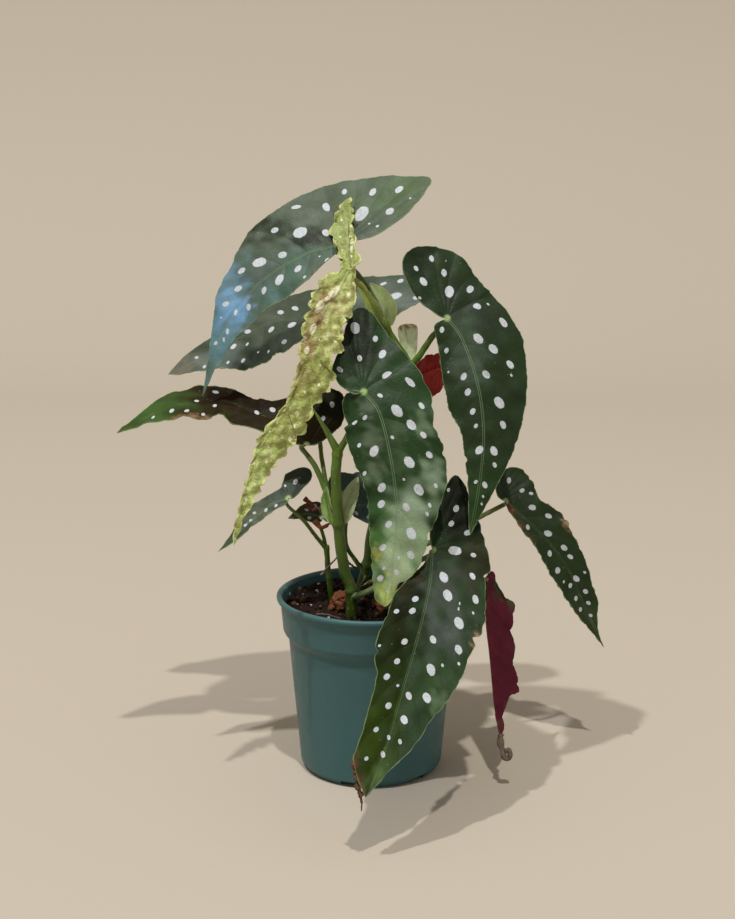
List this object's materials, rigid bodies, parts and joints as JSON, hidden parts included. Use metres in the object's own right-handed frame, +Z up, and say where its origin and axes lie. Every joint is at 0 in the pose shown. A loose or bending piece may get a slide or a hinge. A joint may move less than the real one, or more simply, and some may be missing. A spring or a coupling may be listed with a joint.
{
  "type": "potted polka dot begonia",
  "caption": "Spotted angel-wing begonia with leafy canes standing in a round plastic nursery pot filled with soil.",
  "frame": {"origin": "middle of the pot's base, on the surface that the pot stands on", "axes": "+Z up; the front, from which the big centre leaf is seen face on, looks towards -Y"},
  "size_m": [0.2692, 0.2047, 0.3282],
  "materials": {
    "pot_plastic": "satin",
    "soil": "rough",
    "stem": "satin",
    "leaf": "semi-gloss",
    "young_leaf": "semi-gloss",
    "dried_scale": "rough"
  },
  "bodies": {
    "root": {"pot": "pot_plastic", "soil": "soil", "cane_front": "stem", "cane_back": "stem", "stem_small": "stem", "dried_scales_left": "dried_scale", "dried_scales_right": "dried_scale", "leaf_top": "leaf", "leaf_upper_back": "leaf", "leaf_left": "leaf", "leaf_young": "young_leaf", "leaf_centre": "leaf", "leaf_right": "leaf", "leaf_lower_front": "leaf", "leaf_far_right": "leaf", "leaf_hanging": "leaf", "leaf_small_left": "leaf", "leaf_small_low": "leaf", "leaf_middle_back": "leaf", "leaf_back_right": "leaf"}
  },
  "joints": []
}
